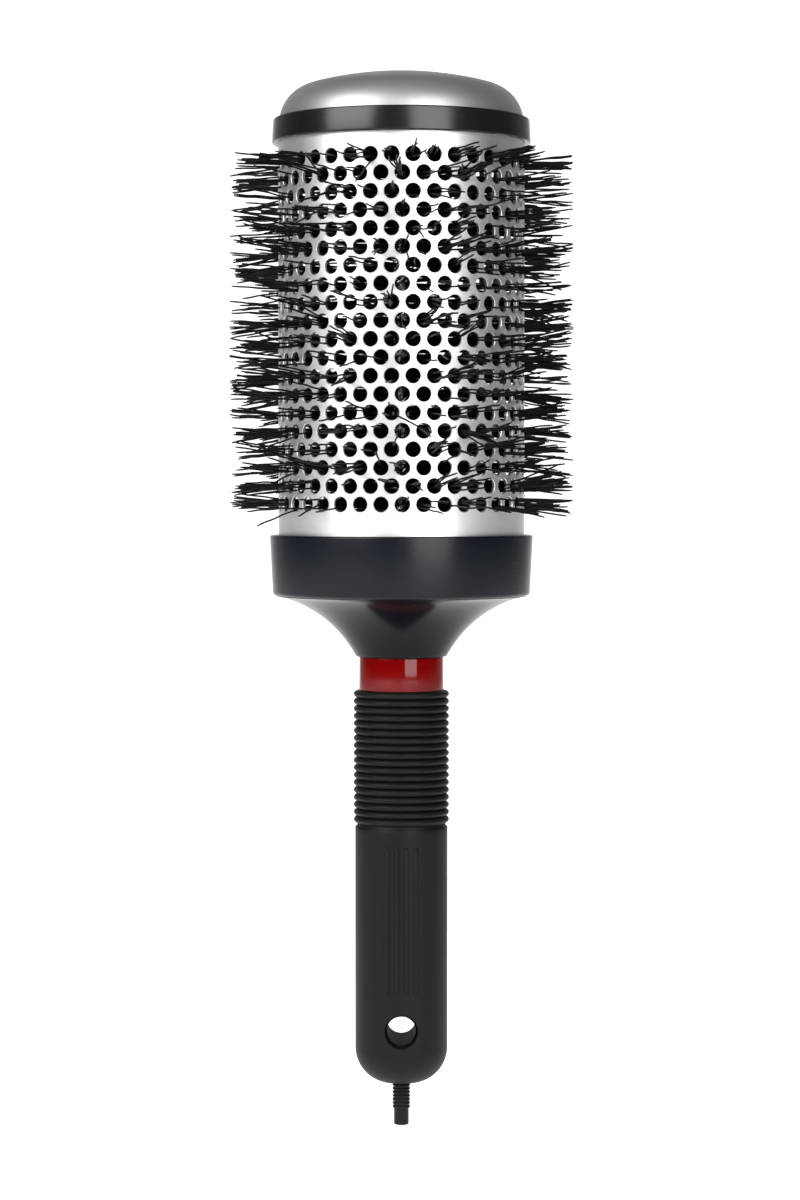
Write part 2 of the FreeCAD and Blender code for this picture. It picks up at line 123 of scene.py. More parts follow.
class BristleSettings(bpy.types.PropertyGroup):
    thickness: length("Thickness", 0.48, "One nylon filament")
    crimp: length("Crimp", 0.14, "How far a filament waves to each side")
    crimp_pitch: length("Crimp pitch", 6.5, "One wave of a filament")
    raggedness: length("Raggedness", 3.6, "How far the shortest tips stay inside the longest")
    tint: colour("Nylon", (0.0022, 0.0022, 0.0026), "Colour of the nylon")
    roughness: share("Roughness", 0.46, "Roughness of the nylon")
    seed: IntProperty(name="Seed", description="Which scatter of filaments", default=11)


class BarrelSettings(bpy.types.PropertyGroup):
    vents: IntProperty(name="Vents", description="Vent holes in a row", default=37, min=8)
    vent_radius: length("Vent radius", 1.93, "One vent hole")
    vent_turn: FloatProperty(
        name="Vent turn",
        description="Turn of the lowest row from the front",
        default=math.radians(0.45),
        unit="ROTATION",
    )
    edge: length("Vent edge", 0.10, "Broken edge of each vent hole")
    metal: colour("Metal", (0.86, 0.86, 0.87), "Colour of the satin barrel")
    roughness: share("Roughness", 0.42, "Roughness of the satin barrel")


class HeadSettings(bpy.types.PropertyGroup):
    shoulder: length("Dome shoulder", 10.0, "Rounded shoulder of the dome")
    dome_wall: length("Dome wall", 1.5, "Shell of the dome")
    lacquer: colour("Lacquer", (0.47, 0.47, 0.475), "Colour of the silver dome")
    skirt: colour("Skirt", (0.006, 0.006, 0.006), "Colour of the cap's skirt")
    collar: colour("Collar", (0.0022, 0.0040, 0.0072), "Colour of the collar")
    neck: colour("Neck", (0.0035, 0.0042, 0.006), "Colour of the flared neck")


class HandleSettings(bpy.types.PropertyGroup):
    ring: colour("Ring", (0.15, 0.0001, 0.0002), "Colour of the finger ring")
    rubber: colour("Rubber", (0.0034, 0.0056, 0.0038), "Colour of the rubber sleeve")
    rib_count: IntProperty(name="Ribs", description="Ribs of the sleeve", default=18, min=2)
    rib_pitch: length("Rib pitch", 1.915, "From rib to rib")
    rib_depth: length("Rib depth", 1.05, "From the top of a rib to the groove beside it")
    end_rounding: length("End rounding", 9.2, "Rounded end of the sleeve")
    bar_count: IntProperty(name="Bars", description="Raised bars for the thumb", default=4, min=1)
    bar_foot: length("Foot of the bars", 9.5, "Lower end of the bars above the hang hole's centre")
    bar_length: length("Bar length", 38.0, "One bar, end to end along the handle")
    bar_width: length("Bar width", 1.2, "One bar, side to side")
    bar_pitch: length("Bar pitch", 2.5, "From bar to bar across the handle")
    bar_rise: length("Bar rise", 0.3, "How far a bar stands out of the sleeve")


class StageSettings(bpy.types.PropertyGroup):
    distance: length("Distance", 802, "Camera to the brush's axis")
    eye_height: length("Eye height", 165.95, "Camera above the tip of the pick")
    eye_shift: length("Eye shift", -0.35, "Camera to the right of the brush's axis")
    tilt: FloatProperty(
        name="Tilt",
        description="Camera looks down by this much",
        default=math.radians(2.1),
        unit="ROTATION",
    )
    lens: FloatProperty(
        name="Lens", description="Focal length", default=93.0, unit="CAMERA", min=20
    )
    key: FloatProperty(name="Key", description="Radiance of the key light", default=5.0)
    room: share("Room", 0.07, "Brightness of the room around the brush")


class BrushSettings(bpy.types.PropertyGroup):
    bristles: PointerProperty(type=BristleSettings, name="Bristles", description="The bristles")
    barrel: PointerProperty(type=BarrelSettings, name="Barrel", description="The barrel")
    head: PointerProperty(type=HeadSettings, name="Head", description="Cap, collar and neck")
    handle: PointerProperty(type=HandleSettings, name="Handle", description="Ring and sleeve")
    stage: PointerProperty(type=StageSettings, name="Stage", description="Camera and light")


def settings():
    return bpy.context.scene.round_brush


# ---- finishes -----------------------------------------------------------------------------------


class Channel:
    """One output of a shader node. Sums and products of channels add Math nodes."""

    def __init__(self, finish, socket):
        self.finish = finish
        self.socket = socket

    def math(self, operation, first, second):
        return self.finish.node("ShaderNodeMath", {"operation": operation}, {0: first, 1: second})

    def __add__(self, other):
        return self.math("ADD", self, other)

    def __sub__(self, other):
        return self.math("SUBTRACT", self, other)

    def __mul__(self, other):
        return self.math("MULTIPLY", self, other)

    def __rsub__(self, other):
        return self.math("SUBTRACT", other, self)

    def magnitude(self):
        return self.math("ABSOLUTE", self, 0.0)

    __radd__ = __add__
    __rmul__ = __mul__


class Finish:
    """A material under construction, with its Principled shader."""

    def __init__(self, name, **constants):
        self.material = bpy.data.materials.new(name)
        self.material.use_nodes = True
        self.tree = self.material.node_tree
        self.shader = self.tree.nodes["Principled BSDF"]
        self.feed(self.shader, constants)

    def feed(self, node, values):
        for key, value in values.items():
            socket = node.inputs[key.replace("_", " ") if isinstance(key, str) else key]
            if isinstance(value, Channel):
                self.tree.links.new(value.socket, socket)
            elif socket.type == "RGBA" and len(value) == 3:
                socket.default_value = (*value, 1)
            else:
                socket.default_value = value

    def surface(self, **values):
        self.feed(self.shader, values)
        return self.material

    def node(self, kind, chosen=None, values=None, output=0):
        made = self.tree.nodes.new(kind)
        for key, value in (chosen or {}).items():
            if key == "stops":
                self.set_stops(made.color_ramp, value)
            else:
                setattr(made, key, value)
        self.feed(made, values or {})
        return Channel(self, made.outputs[output])

    @staticmethod
    def set_stops(ramp, stops):
        for element, (place, level) in zip(ramp.elements, (stops[0], stops[-1])):
            element.position = place
            element.color = (level, level, level, 1)
        for place, level in stops[1:-1]:
            ramp.elements.new(place).color = (level, level, level, 1)

    def place(self, stretch=(1, 1, 1)):
        """Object coordinates in metres, stretched along each axis."""
        where = self.node("ShaderNodeTexCoord", output="Object")
        chosen = {"operation": "MULTIPLY"}
        return self.node("ShaderNodeVectorMath", chosen, {0: where, 1: stretch})

    def part(self, vector, axis):
        """One coordinate of a vector."""
        return self.node("ShaderNodeSeparateXYZ", None, {0: vector}, output=axis)

    def noise(self, scale, stretch=(1, 1, 1), detail=3.0, rough=0.55):
        values = {"Vector": self.place(stretch), "Scale": scale, "Detail": detail}
        values["Roughness"] = rough
        return self.node("ShaderNodeTexNoise", None, values)

    def ramp(self, channel, *stops):
        return self.node("ShaderNodeValToRGB", {"stops": stops}, {"Fac": channel})

    def blend(self, amount, first, second):
        """A colour between two colours."""
        chosen = {"data_type": "RGBA", "clamp_factor": True}
        return self.node("ShaderNodeMix", chosen, {0: amount, 6: first, 7: second}, output=2)

    def bump(self, height, strength, distance):
        values = {"Height": height, "Strength": strength, "Distance": distance}
        return self.node("ShaderNodeBump", None, values)


def shade(rgb, factor):
    """A colour made darker or lighter by a factor."""
    return tuple(min(1.0, part * factor) for part in rgb)


def satin_metal_finish():
    """Satin aluminium: fine grain around the barrel, with faint handling marks."""
    tone = settings().barrel
    finish = Finish("satin_aluminium", Metallic=1.0, Specular_IOR_Level=0.5)
    grain = finish.noise(90, (6, 6, 60), 4.0, 0.6)
    marks = finish.noise(60, (1, 1, 1), 3.0)
    speck = finish.noise(2600, (1, 1, 1), 2.0)
    rough = tone.roughness - 0.07 + grain * 0.10 + marks * 0.05
    tint = finish.blend(marks * 0.6 + grain * 0.3, shade(tone.metal, 0.93), shade(tone.metal, 1.06))
    height = finish.bump(grain * 0.7 + speck * 0.3, 0.10, 0.05 * MM)
    return finish.surface(Base_Color=tint, Roughness=rough, Normal=height)


def silver_lacquer_finish():
    """Silver paint with fine flake under a satin top coat."""
    tone = settings().head
    finish = Finish("silver_lacquer", Metallic=0.92, Coat_Weight=0.12, Coat_Roughness=0.2)
    flake = finish.noise(5200, (1, 1, 1), 1.0)
    cloud = finish.noise(45, (1, 1, 1), 2.0)
    tint = finish.blend(
        flake * 0.8 + cloud * 0.2, shade(tone.lacquer, 0.84), shade(tone.lacquer, 1.2)
    )
    height = finish.bump(flake, 0.08, 0.03 * MM)
    return finish.surface(Base_Color=tint, Roughness=0.42 + flake * 0.08, Normal=height)


def turned_plastic_finish(name, rgb, rough, line, gloss=0.4):
    """Moulded plastic polished on a lathe, so that fine lines run around it."""
    finish = Finish(name, Specular_IOR_Level=gloss)
    lines = finish.noise(140, (0.35, 0.35, 14), 4.0, 0.65)
    dust = finish.noise(420, (1, 1, 1), 3.0)
    tint = finish.blend(lines * 0.7 + dust * 0.3, shade(rgb, 0.75), shade(rgb, 1.35))
    height = finish.bump(lines * 0.8 + dust * 0.2, line, 0.05 * MM)
    return finish.surface(
        Base_Color=tint, Roughness=rough - 0.05 + lines * 0.07 + dust * 0.05, Normal=height
    )


def candy_ring_finish():
    """Deep red translucent plastic, polished."""
    rgb = settings().handle.ring
    finish = Finish("candy_red", Specular_IOR_Level=0.34)
    swirl = finish.noise(160, (1, 1, 2.5), 2.0)
    dust = finish.noise(900, (1, 1, 1), 3.0)
    tint = finish.blend(swirl, shade(rgb, 0.8), shade(rgb, 1.15))
    height = finish.bump(dust, 0.03, 0.03 * MM)
    return finish.surface(Base_Color=tint, Roughness=0.05 + dust * 0.05, Normal=height)


def rubber_finish(name="soft_rubber", factor=1.0, rough=0.52):
    """Moulded rubber: a fine matte skin, a little polished where it is held."""
    rgb = settings().handle.rubber
    finish = Finish(name, Specular_IOR_Level=0.17)
    skin = finish.noise(3400, (1, 1, 1), 3.0, 0.6)
    worn = finish.noise(38, (1, 1, 0.5), 3.0)
    tint = finish.blend(
        worn * 0.7 + skin * 0.3, shade(rgb, 0.8 * factor), shade(rgb, 1.22 * factor)
    )
    height = finish.bump(skin, 0.22, 0.05 * MM)
    return finish.surface(
        Base_Color=tint, Roughness=rough - 0.09 + worn * 0.12 + skin * 0.05, Normal=height
    )


def nylon_finish():
    """Black nylon filament, drawn smooth."""
    tone = settings().bristles
    finish = Finish("black_nylon", Specular_IOR_Level=0.14)
    batch = finish.noise(240, (1, 1, 1), 2.0)
    tint = finish.blend(batch, shade(tone.tint, 0.6), shade(tone.tint, 1.8))
    return finish.surface(Base_Color=tint, Roughness=tone.roughness - 0.08 + batch * 0.16)


def stem_steel_finish():
    """Galvanised steel wire, bright with drawn streaks."""
    finish = Finish("stem_steel", Metallic=1.0)
    streak = finish.noise(300, (1, 1, 0.4), 3.0)
    tint = finish.blend(streak, (0.5, 0.5, 0.5), (0.8, 0.8, 0.81))
    height = finish.bump(streak, 0.1, 0.03 * MM)
    return finish.surface(Base_Color=tint, Roughness=0.16 + streak * 0.15, Normal=height)


# ---- mesh helpers -------------------------------------------------------------------------------


def finished_piece(name, bm, material, node_names, sharp=32):
    """Turn a bmesh into a piece that stands for CAD nodes of one body."""
    bmesh.ops.recalc_face_normals(bm, faces=bm.faces)
    mesh = bpy.data.meshes.new(name)
    bm.to_mesh(mesh)
    bm.free()
    mesh.shade_smooth()
    mesh.set_sharp_from_angle(angle=math.radians(sharp))
    mesh.materials.append(material)
    piece = bpy.data.objects.new(name, mesh)
    bpy.context.scene.collection.objects.link(piece)
    body = frame["nodes"][node_names[0]]["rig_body"]
    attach(piece, body)
    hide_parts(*node_names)
    return piece


def arc(start, end, radius, side, steps=24):
    """Points of a short arc from start to end, both included; side +1 bulges to the left."""
    first, last = Vector(start), Vector(end)
    chord = last - first
    across = Vector((-chord.y, chord.x)).normalized() * side
    half = chord.length / 2
    centre = (first + last) / 2 - across * math.sqrt(radius**2 - half**2)
    begin = math.atan2(*(first - centre).yx)
    sweep = 2 * math.asin(half / radius) * -side
    turns = [begin + sweep * step / steps for step in range(steps + 1)]
    return [(centre.x + radius * math.cos(a), centre.y + radius * math.sin(a)) for a in turns]


def rounded(corners, steps=6):
    """A closed half section from (radius, height) corners; a third number rounds the corner."""
    points = []
    count = len(corners)
    for index, corner in enumerate(corners):
        here = Vector(corner[:2])
        if len(corner) < 3:
            points.append(tuple(here))
            continue
        before = (Vector(corners[index - 1][:2]) - here).normalized()
        after = (Vector(corners[(index + 1) % count][:2]) - here).normalized()
        half = math.acos(max(-1.0, min(1.0, before.dot(after)))) / 2
        cut = corner[2] / math.tan(half)
        middle = here + (before + after).normalized() * (corner[2] / math.sin(half))
        first, last = here + before * cut, here + after * cut
        start = math.atan2(*(first - middle).yx)
        sweep = math.remainder(math.atan2(*(last - middle).yx) - start, TURN)
        for step in range(steps + 1):
            angle = start + sweep * step / steps
            points.append(
                (middle.x + corner[2] * math.cos(angle), middle.y + corner[2] * math.sin(angle))
            )
    return points


def lathe(section, steps=ROUND):
    """A solid of revolution about the Z axis from a closed half section."""
    bm = bmesh.new()
    rings = []
    for radius, height in section:
        if radius < 1e-7:
            rings.append([bm.verts.new((0, 0, height))] * steps)
            continue
        ring = []
        for step in range(steps):
            angle = TURN * step / steps
            ring.append(
                bm.verts.new((radius * math.cos(angle), radius * math.sin(angle), height))
            )
        rings.append(ring)
    for first, second in zip(rings, rings[1:] + rings[:1]):
        for step in range(steps):
            following = (step + 1) % steps
            corners = [first[step], first[following], second[following], second[step]]
            distinct = list(dict.fromkeys(corners))
            if len(distinct) > 2:
                bm.faces.new(distinct)
    return bm


def coat_cad_node(name, material):
    """Give a CAD node that keeps its own shape a better finish."""
    node = frame["nodes"][name]
    node.data.materials.clear()
    node.data.materials.append(material)


def bridge(bm, rings):
    """Join each ring of vertices to the next with four-sided faces."""
    for first, second in zip(rings, rings[1:]):
        for step in range(len(first)):
            following = (step + 1) % len(first)
            bm.faces.new([first[step], first[following], second[following], second[step]])


def add_tube(bm, path, radii, sides):
    """A round tube along a path, closed at both ends."""
    rings = []
    way = (path[1] - path[0]).normalized()
    side = way.orthogonal().normalized()
    for index, point in enumerate(path):
        ahead = path[min(index + 1, len(path) - 1)] - path[max(index - 1, 0)]
        way = ahead.normalized()
        side = (side - way * side.dot(way)).normalized()
        up = way.cross(side)
        ring = []
        for step in range(sides):
            angle = TURN * step / sides
            out = side * math.cos(angle) + up * math.sin(angle)
            ring.append(bm.verts.new(point + out * radii[index]))
        rings.append(ring)
    bridge(bm, rings)
    bm.faces.new(list(reversed(rings[0])))
    bm.faces.new(rings[-1])


# ---- pieces -------------------------------------------------------------------------------------


def make_dome():
    """Silver dome: a shallow crown that runs into a tighter shoulder."""
    tone = settings().head
    foot, apex = LOW["end_cap"].z, HIGH["end_cap"].z
    edge = HIGH["end_cap"].x
    rise = apex - foot
    neck = edge - tone.shoulder
    crown = (rise**2 - tone.shoulder**2 + neck**2) / (2 * (rise - tone.shoulder))
    lean = math.atan2(neck, crown - rise)
    section = []
    for wall, order in ((0.0, 1), (tone.dome_wall, -1)):
        bend = tone.shoulder - wall
        shoulder = [math.pi / 2 + (lean - math.pi / 2) * step / 20 for step in range(21)]
        shell = [
            (neck + bend * math.sin(a), foot + bend * math.cos(a))
            for a in shoulder
        ]
        for step in range(1, 33):
            angle = lean * (1 - step / 32)
            reach = crown - wall
            shell.append((reach * math.sin(angle), apex - crown + reach * math.cos(angle)))
        shell[-1] = (0.0, shell[-1][1])
        section += shell[::order]
    return finished_piece(
        "silver_dome", lathe(section), silver_lacquer_finish(), ["end_cap"]
    )


def make_cap_skirt():
    """Dark cap: skirt, plate, spigot inside the barrel and the hub for the stem."""
    foot, top = LOW["cap_band"].z + 3.0 * MM, HIGH["cap_band"].z
    edge = HIGH["cap_band"].x
    recess = HIGH["end_cap"].x + SEAT_GAP
    seat = LOW["end_cap"].z - SEAT_GAP
    plate = HIGH["stem_wire_a"].z + SEAT_GAP
    low = LOW["cap_band"].z
    barrel = HIGH["barrel"].x
    slot_top = HIGH["barrel"].z + SEAT_GAP
    bore = barrel - 0.85 * MM
    hub = 5.0 * MM
    socket = HIGH["stem_wire_a"].x + SEAT_GAP
    corners = [
        (edge, foot, 0.45 * MM),
        (edge - 0.3 * MM, top, 0.45 * MM),
        (recess, top, 0.15 * MM),
        (recess, seat),
        (0.0, seat),
        (0.0, plate),
        (socket, plate),
        (socket, low, 0.2 * MM),
        (hub, low, 0.3 * MM),
        (hub, plate),
        (bore - SPIGOT_WALL, plate),
        (bore - SPIGOT_WALL, low, 0.3 * MM),
        (bore, low, 0.3 * MM),
        (bore, slot_top),
        (barrel + SEAT_GAP, slot_top),
        (barrel + SEAT_GAP, foot, 0.2 * MM),
    ]
    finish = turned_plastic_finish("cap_plastic", settings().head.skirt, 0.22, 0.25, 0.5)
    bm = lathe(rounded(corners))
    return finished_piece("cap_skirt", bm, finish, ["cap_band"])


def vent_ring(bm, centre_angle, centre_height, reach, radius, points):
    """One ring of a vent hole on a cylinder of this reach."""
    ring = []
    for index in range(points):
        angle = math.pi / 4 + TURN * index / points
        around = centre_angle + radius * math.cos(angle) / HIGH["barrel"].x
        height = centre_height + radius * math.sin(angle)
        ring.append(
            bm.verts.new((reach * math.sin(around), -reach * math.cos(around), height))
        )
    return ring


def vent_cell_edge(bm, centre_angle, centre_height, reach, half_turn, half_height, points):
    """The four-sided border of one vent hole's cell, from its top right corner anticlockwise."""
    quarter = points // 4
    ring = []
    corners = [(1, 1), (-1, 1), (-1, -1), (1, -1)]
    for index, (across, up) in enumerate(corners):
        ahead = corners[(index + 1) % 4]
        for step in range(quarter):
            part = step / quarter
            turn = centre_angle + half_turn * (across + (ahead[0] - across) * part)
            height = centre_height + half_height * (up + (ahead[1] - up) * part)
            ring.append(
                bm.verts.new((reach * math.sin(turn), -reach * math.cos(turn), height))
            )
    return ring


def make_barrel():
    """Satin metal tube with staggered rows of vent holes, each with a broken edge."""
    tone = settings().barrel
    outside = HIGH["barrel"].x
    inside = outside - BARREL_WALL
    foot, top = LOW["barrel"].z, HIGH["barrel"].z
    points = 24
    step_turn = TURN / tone.vents
    bm = bmesh.new()

    for row, height in enumerate(ROW_HEIGHTS):
        for column in range(tone.vents):
            turn = tone.vent_turn + step_turn * (column + (0.5 if row % 2 else 0.0))
            where = (turn, height)
            size = (step_turn / 2, ROW_PITCH / 2, points)
            rings = [
                vent_cell_edge(bm, *where, outside, *size),
                vent_ring(bm, *where, outside, tone.vent_radius + tone.edge, points),
                vent_ring(bm, *where, outside - tone.edge, tone.vent_radius, points),
                vent_ring(bm, *where, inside, tone.vent_radius, points),
                vent_cell_edge(bm, *where, inside, *size),
            ]
            bridge(bm, rings)
    columns = tone.vents * points // 4
    lowest = ROW_HEIGHTS[0] - ROW_PITCH / 2
    highest = ROW_HEIGHTS[-1] + ROW_PITCH / 2
    for first, second, row in ((foot, lowest, 0), (highest, top, len(ROWS) - 1)):
        start = tone.vent_turn + step_turn * (0.5 if row % 2 else 0.0) - step_turn / 2
        loops = []
        levels = [(outside, first), (outside, second), (inside, second), (inside, first)]
        for reach, height in levels:
            turns = [start + TURN * index / columns for index in range(columns)]
            loops.append(
                [bm.verts.new((reach * math.sin(a), -reach * math.cos(a), height)) for a in turns]
            )
        bridge(bm, loops[:2])
        bridge(bm, loops[2:])
        bridge(bm, (loops[3], loops[0]) if row == 0 else (loops[1], loops[2]))
    bmesh.ops.remove_doubles(bm, verts=bm.verts, dist=0.002 * MM)
    return finished_piece("vented_barrel", bm, satin_metal_finish(), ["barrel"])


def tuft_sizes(chance):
    """How many filaments come through one vent hole: often none or one, now and then a bunch."""
    draw = chance.random()
    if draw < 0.22:
        return 0
    if draw < 0.40:
        return 1
    if draw < 0.66:
        return chance.randint(2, 3)
    if draw < 0.90:
        return chance.randint(4, 6)
    return chance.randint(7, 11)


def outward(turn):
    """The level direction at a turn round from the front."""
    return Vector((math.sin(turn), -math.cos(turn), 0.0))


def filament_path(chance, turn, height, lean, sweep):
    """The way of one filament from the stem, through its vent hole, to its tip."""
    tone = settings().bristles
    reach = HIGH[ROWS[0]].x
    barrel = HIGH["barrel"].x
    radial = outward(turn)
    around = Vector((-radial.y, radial.x, 0.0))
    up = Vector((0, 0, 1))
    room = settings().barrel.vent_radius - tone.thickness
    spot_turn, spot = chance.uniform(0, TURN), room * math.sqrt(chance.random())
    through = radial * (barrel - 0.4 * MM) + up * height
    through += around * spot * math.cos(spot_turn) + up * spot * math.sin(spot_turn)
    root = radial * 1.6 * MM + up * (height + chance.uniform(-0.55, 0.55) * ROW_PITCH)
    root += around * chance.uniform(-0.5, 0.5) * MM
    out = radial + around * math.tan(sweep) + up * math.tan(lean)
    tip_reach = reach - tone.raggedness * chance.random() ** 2.2
    run = tip_reach - barrel
    tip = through + out * run
    flat = Vector((tip.x, tip.y, 0))
    tip -= flat.normalized() * max(0.0, flat.length - tip_reach)
    inner_bend = through + (root - through) * 0.18
    outer_bend = through + (tip - through) * 0.12
    knots = []
    for step in range(4):
        knots.append(root.lerp(inner_bend, step / 4))
    for step in range(4):
        part = step / 3
        first = inner_bend.lerp(through, part)
        second = through.lerp(outer_bend, part)
        knots.append(first.lerp(second, part))
    for step in range(1, 9):
        knots.append(outer_bend.lerp(tip, step / 8))
    phase = chance.uniform(0, TURN)
    plane = chance.uniform(0, TURN)
    sideways = around * math.cos(plane) + up * math.sin(plane)
    path = []
    for knot in knots:
        along = (knot - root).length
        free = min(1.0, max(0.0, (along - 26 * MM) / (8 * MM)))
        wave = math.sin(phase + TURN * along / tone.crimp_pitch)
        path.append(knot + sideways * wave * tone.crimp * free * 0.6)
    return path


def make_bristles():
    """Crimped nylon filaments, gripped by the stem and spread through the vent holes."""
    tone = settings().bristles
    barrel = settings().barrel
    step_turn = TURN / barrel.vents
    nylon = nylon_finish()
    limit = math.radians(48)
    flattest = math.radians(5)  # the top row stays clear of the cap
    for row, (name, height) in enumerate(zip(ROWS, ROW_HEIGHTS)):
        chance = random.Random(tone.seed * 1000 + row)
        highest = flattest if row == len(ROWS) - 1 else limit
        bm = bmesh.new()
        for column in range(barrel.vents):
            turn = barrel.vent_turn + step_turn * (column + (0.5 if row % 2 else 0.0))
            bunch_lean = chance.gauss(0, math.radians(4.5))
            bunch_sweep = chance.gauss(0, math.radians(5.0))
            for _ in range(tuft_sizes(chance)):
                stray = 4.0 if chance.random() < 0.03 else 1.0
                lean = bunch_lean + chance.gauss(0, math.radians(3.4)) * stray
                sweep = bunch_sweep + chance.gauss(0, math.radians(4.0)) * stray
                lean = max(-limit, min(highest, lean))
                sweep = max(-limit, min(limit, sweep))
                path = filament_path(chance, turn, height, lean, sweep)
                radii = [tone.thickness / 2] * (len(path) - 1) + [tone.thickness * 0.36]
                add_tube(bm, path, radii, 5)
        finished_piece(f"filaments_{row + 1:02d}", bm, nylon, [name], 80)


def make_collar():
    """Dark band under the barrel, slightly smaller at its foot, with a floor inside."""
    foot, top = LOW["collar"].z, HIGH["collar"].z
    edge = HIGH["collar"].x
    inner = HIGH["barrel"].x + SEAT_GAP
    floor = LOW["barrel"].z - SEAT_GAP
    opening = 25.05 * MM
    corners = [
        (opening, foot),
        (edge - 0.8 * MM, foot, 0.9 * MM),
        (edge, top, 0.5 * MM),
        (inner, top, 0.25 * MM),
        (inner, floor),
        (opening, floor),
    ]
    finish = turned_plastic_finish("collar_plastic", settings().head.collar, 0.25, 0.20, 0.3)
    bm = lathe(rounded(corners))
    return finished_piece("collar_band", bm, finish, ["collar"])


def make_neck():
    """Flared neck with a thin brim, open at the top around the tube that holds the core."""
    foot, top = LOW["neck_cone"].z, HIGH["neck_cone"].z
    shelf = LOW["collar"].z - SEAT_GAP
    rim = shelf - 0.10 * MM
    brim = (28.2 * MM, rim - 1.1 * MM)
    bore = HIGH["handle_core"].x + SEAT_GAP
    tube = bore + 2.0 * MM
    spigot = 25.0 * MM
    pocket = foot + 6.28 * MM
    lip = [(11.2 * MM, foot), (11.75 * MM, foot + 0.2 * MM), (12.05 * MM, foot + 0.65 * MM)]
    flare = arc(lip[-1], brim, 31.0 * MM, 1, 40)
    edge = arc(brim, (HIGH["neck_cone"].x, rim), 21.5 * MM, 1, 10)
    section = [(bore, foot)] + lip + flare[1:] + edge[1:]
    section += [
        (HIGH["neck_cone"].x, shelf),
        (spigot, shelf),
        (spigot, top),
        (spigot - SPIGOT_WALL, top),
        (spigot - SPIGOT_WALL, rim - 2.0 * MM),
        (tube + 1.4 * MM, pocket),
        (tube, pocket),
        (tube, rim),
        (bore, rim),
    ]
    finish = turned_plastic_finish("neck_plastic", settings().head.neck, 0.18, 0.05, 0.13)
    return finished_piece("flared_neck", lathe(section), finish, ["neck_cone"])


def make_ring():
    """Red finger ring, a touch narrower at its top, with softened edges."""
    foot, top = LOW["red_ring"].z, HIGH["red_ring"].z
    edge = HIGH["red_ring"].x
    bore = HIGH["handle_core"].x + SEAT_GAP
    corners = [
        (bore, foot),
        (edge, foot, 0.15 * MM),
        (edge - 0.08 * MM, top, 0.2 * MM),
        (bore, top),
    ]
    return finished_piece(
        "finger_ring", lathe(rounded(corners)), candy_ring_finish(), ["red_ring"]
    )


def sleeve_section():
    """Half section of the rubber sleeve, with its ribs and rounded end."""
    tone = settings().handle
    foot, top = LOW["grip"].z, HIGH["grip"].z
    smooth = SLEEVE_RADIUS
    crest = HIGH["grip"].x
    root = crest - tone.rib_depth
    inner = HIGH["handle_core"].x + SEAT_GAP
    inner_foot = LOW["handle_core"].z - SEAT_GAP
    inner_round = 6.71 * MM
    mouth = 2.63 * MM
    ribs_foot = top - tone.rib_pitch * tone.rib_count
    groove = tone.rib_pitch * 0.42
    section = [(mouth, foot)]
    start = foot + tone.end_rounding
    end_flat = (smooth - tone.end_rounding, foot)
    section += arc(end_flat, (smooth, start), tone.end_rounding, -1, 40)
    straight = 60
    for step in range(1, straight):
        section.append((smooth, start + (ribs_foot - groove - 0.3 * MM - start) * step / straight))
    section += [
        (smooth, ribs_foot - groove - 0.25 * MM),
        (smooth - 0.08 * MM, ribs_foot - groove - 0.06 * MM),
        (smooth - 0.35 * MM, ribs_foot - groove),
    ]
    steps = 12
    for rib in range(tone.rib_count):
        for step in range(steps):
            part = step / steps
            swell = abs(math.sin(math.pi * part)) ** 0.55
            level = ribs_foot + tone.rib_pitch * (rib + part)
            section.append((root + (crest - root) * swell, level))
    section += [(root, top), (inner, top), (inner, inner_foot + inner_round)]
    inner_end = (inner - inner_round, inner_foot)
    section += arc(section[-1], inner_end, inner_round, 1, 12)[1:]
    section.append((mouth, inner_foot))
    return section


def hang_hole_cutter():
    """A closed spool that cuts the hang hole with an even soft rim on both sides."""
    smooth = SLEEVE_RADIUS
    radius = 4.2 * MM
    soft = 0.7 * MM
    steps = 96
    depths = [(-3.0, 1.0), (-0.25, 1.0)]
    for index in range(8):
        angle = math.pi / 2 * index / 7
        depths.append((soft / MM * (1 - math.cos(angle)), 1.0 - math.sin(angle)))
    bm = bmesh.new()
    rings = []
    for side in (-1, 1):
        for depth, flare in depths if side < 0 else reversed(depths):
            ring = []
            for step in range(steps):
                angle = TURN * step / steps
                reach = radius + soft * flare
                x, z = reach * math.cos(angle), reach * math.sin(angle)
                surface = math.sqrt(smooth**2 - min(abs(x), smooth * 0.9) ** 2)
                ring.append(bm.verts.new((x, side * (surface - depth * MM), z)))
            rings.append(ring)
    bridge(bm, rings)
    bm.faces.new(rings[0])
    bm.faces.new(list(reversed(rings[-1])))
    bmesh.ops.recalc_face_normals(bm, faces=bm.faces)
    mesh = bpy.data.meshes.new("hang_hole_cutter")
    bm.to_mesh(mesh)
    bm.free()
    cutter = bpy.data.objects.new("hang_hole_cutter", mesh)
    bpy.context.scene.collection.objects.link(cutter)
    return cutter


def cut_with(piece, cutter):
    """Cut one object out of another for good."""
    cut = piece.modifiers.new("cut", "BOOLEAN")
    cut.operation = "DIFFERENCE"
    cut.solver = "EXACT"
    cut.object = cutter
    graph = bpy.context.evaluated_depsgraph_get()
    mesh = bpy.data.meshes.new_from_object(piece.evaluated_get(graph))
    piece.modifiers.remove(cut)
    old = piece.data
    piece.data = mesh
    bpy.data.meshes.remove(old)
    bpy.data.objects.remove(cutter)
    mesh.shade_smooth()
    mesh.set_sharp_from_angle(angle=math.radians(38))


